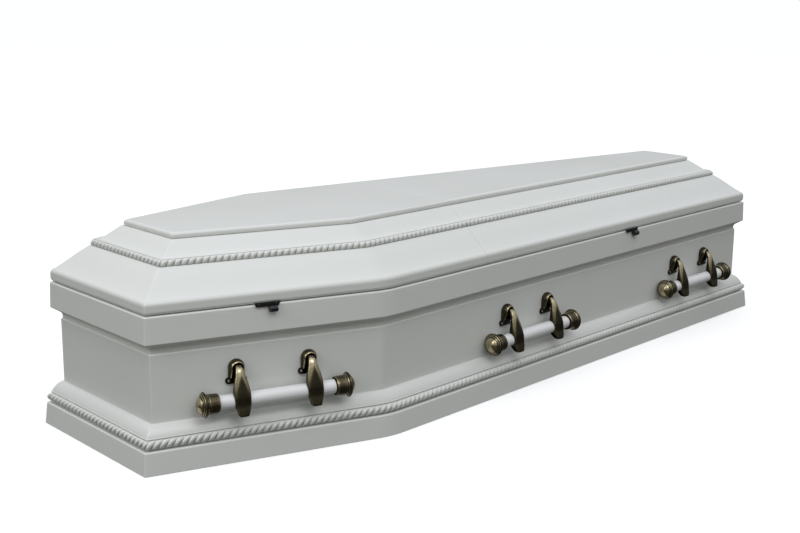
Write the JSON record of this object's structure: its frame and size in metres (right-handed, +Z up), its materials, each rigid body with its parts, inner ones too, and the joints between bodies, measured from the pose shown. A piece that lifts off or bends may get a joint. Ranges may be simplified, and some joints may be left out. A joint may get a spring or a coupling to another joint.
{
  "type": "wooden coffin",
  "caption": "White wooden coffin with a hexagonal tapered box, stepped lift-off lid, rope mouldings and bronze swing-bar handles.",
  "frame": {"origin": "middle of the plinth's underside", "axes": "+X towards the foot end, +Z up, the side shown in the picture faces -Y"},
  "size_m": [2.05, 0.6926, 0.448],
  "materials": {
    "white_wood": "white satin lacquer",
    "white_bar": "white gloss lacquer",
    "bronze": "antique bronze, brushed highlights",
    "black_iron": "black enamel"
  },
  "bodies": {
    "root": {"floor_board": "white_wood", "base_plinth": "white_wood", "base_rope": "white_wood", "base_moulding": "white_wood", "body_sides": "white_wood", "rim_band": "white_wood", "lid_head_apron": "white_wood", "lid_head_rope": "white_wood", "lid_head_slope": "white_wood", "lid_head_top": "white_wood", "lid_foot_apron": "white_wood", "lid_foot_rope": "white_wood", "lid_foot_slope": "white_wood", "lid_foot_top": "white_wood", "catch_near_head": "black_iron", "catch_near_foot": "black_iron", "ear_near_head_a": "bronze", "ear_near_head_b": "bronze", "ear_near_waist_a": "bronze", "ear_near_waist_b": "bronze", "ear_near_foot_a": "bronze", "ear_near_foot_b": "bronze", "catch_far_head": "black_iron", "catch_far_foot": "black_iron", "ear_far_head_a": "bronze", "ear_far_head_b": "bronze", "ear_far_waist_a": "bronze", "ear_far_waist_b": "bronze", "ear_far_foot_a": "bronze", "ear_far_foot_b": "bronze"},
    "handle_near_head": {"arm_near_head_a": "bronze", "arm_near_head_b": "bronze", "bar_near_head": "white_bar", "cap_near_head_a": "bronze", "cap_near_head_b": "bronze"},
    "handle_far_head": {"arm_far_head_a": "bronze", "arm_far_head_b": "bronze", "bar_far_head": "white_bar", "cap_far_head_a": "bronze", "cap_far_head_b": "bronze"},
    "handle_near_waist": {"arm_near_waist_a": "bronze", "arm_near_waist_b": "bronze", "bar_near_waist": "white_bar", "cap_near_waist_a": "bronze", "cap_near_waist_b": "bronze"},
    "handle_far_waist": {"arm_far_waist_a": "bronze", "arm_far_waist_b": "bronze", "bar_far_waist": "white_bar", "cap_far_waist_a": "bronze", "cap_far_waist_b": "bronze"},
    "handle_near_foot": {"arm_near_foot_a": "bronze", "arm_near_foot_b": "bronze", "bar_near_foot": "white_bar", "cap_near_foot_a": "bronze", "cap_near_foot_b": "bronze"},
    "handle_far_foot": {"arm_far_foot_a": "bronze", "arm_far_foot_b": "bronze", "bar_far_foot": "white_bar", "cap_far_foot_a": "bronze", "cap_far_foot_b": "bronze"}
  },
  "joints": [
    {"name": "swing_near_head", "type": "hinge", "parent": "root", "child": "handle_near_head", "pos_m": [-0.74978, -0.25862, 0.19], "axis": [-0.9644, 0.2645, 0], "range_deg": [0, 45]},
    {"name": "swing_far_head", "type": "hinge", "parent": "root", "child": "handle_far_head", "pos_m": [-0.74978, 0.25862, 0.19], "axis": [0.9644, 0.2645, 0], "range_deg": [0, 45]},
    {"name": "swing_near_waist", "type": "hinge", "parent": "root", "child": "handle_near_waist", "pos_m": [-0.01378, -0.28167, 0.19], "axis": [-0.9961, -0.088, 0], "range_deg": [0, 45]},
    {"name": "swing_far_waist", "type": "hinge", "parent": "root", "child": "handle_far_waist", "pos_m": [-0.01378, 0.28167, 0.19], "axis": [0.9961, -0.088, 0], "range_deg": [0, 45]},
    {"name": "swing_near_foot", "type": "hinge", "parent": "root", "child": "handle_near_foot", "pos_m": [0.72614, -0.21631, 0.19], "axis": [-0.9961, -0.088, 0], "range_deg": [0, 45]},
    {"name": "swing_far_foot", "type": "hinge", "parent": "root", "child": "handle_far_foot", "pos_m": [0.72614, 0.21631, 0.19], "axis": [0.9961, -0.088, 0], "range_deg": [0, 45]}
  ]
}
